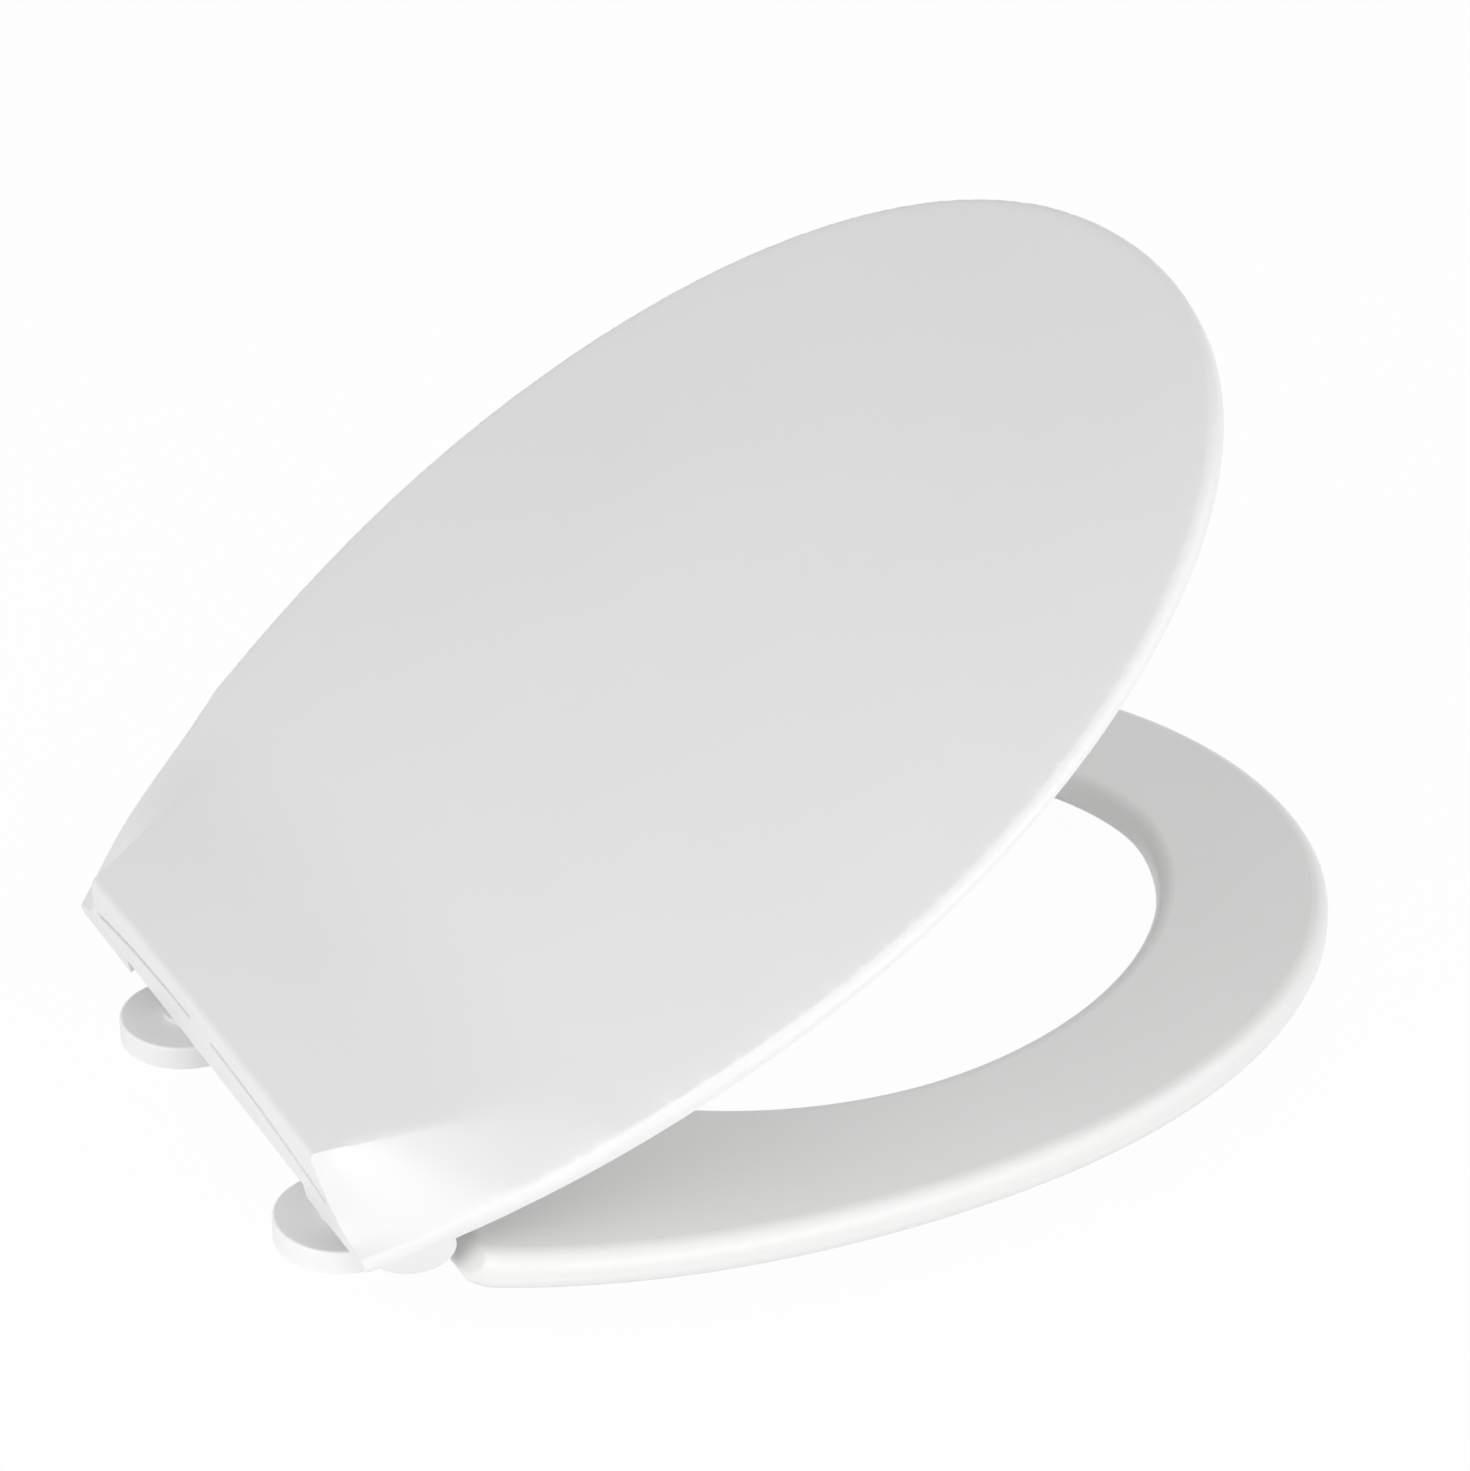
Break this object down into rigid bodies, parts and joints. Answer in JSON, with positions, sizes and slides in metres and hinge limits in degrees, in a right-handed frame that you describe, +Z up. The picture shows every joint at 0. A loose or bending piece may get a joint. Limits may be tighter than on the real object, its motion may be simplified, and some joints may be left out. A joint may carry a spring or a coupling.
{
  "type": "toilet seat",
  "caption": "Oval toilet seat: a hollow ring and a crowned lid with a raised hood turn on one hinge line over round feet that bolt to the bowl.",
  "frame": {"origin": "midway between the two fixing holes, on the bowl's rim, under the hinge feet", "axes": "+Z up; -Y towards the front of the seat; +X to the right of someone who faces the seat from behind it"},
  "size_m": [0.372, 0.444, 0.2748],
  "materials": {
    "white_moulding": "gloss",
    "grey_plastic": "matte",
    "pin_steel": "brushed",
    "insert_brass": "satin",
    "buffer_rubber": "matte"
  },
  "bodies": {
    "hinge_base": {"hinge_disc_left": "white_moulding", "hinge_disc_right": "white_moulding", "hinge_post_left": "white_moulding", "hinge_post_right": "white_moulding", "lid_damper_shaft": "pin_steel", "ring_damper_shaft": "pin_steel", "lid_pivot_pin": "pin_steel", "ring_pivot_pin": "pin_steel", "threaded_insert_left": "insert_brass", "threaded_insert_right": "insert_brass"},
    "ring": {"seat_ring": "white_moulding", "ring_damper_housing": "grey_plastic", "ring_pivot_bush": "grey_plastic", "ring_buffer_front_left": "buffer_rubber", "ring_buffer_front_right": "buffer_rubber", "ring_buffer_rear_left": "buffer_rubber", "ring_buffer_rear_right": "buffer_rubber"},
    "lid": {"lid": "white_moulding", "lid_damper_housing": "grey_plastic", "lid_pivot_bush": "grey_plastic", "lid_buffer_left": "buffer_rubber", "lid_buffer_right": "buffer_rubber"}
  },
  "joints": [
    {"name": "ring_hinge", "type": "hinge", "parent": "hinge_base", "child": "ring", "pos_m": [0, -0.003, 0.0273], "axis": [-1, 0, 0], "range_deg": [0, 30]},
    {"name": "lid_hinge", "type": "hinge", "parent": "ring", "child": "lid", "pos_m": [0, -0.003, 0.0273], "axis": [-1, 0, 0], "range_deg": [-34, 32]}
  ]
}
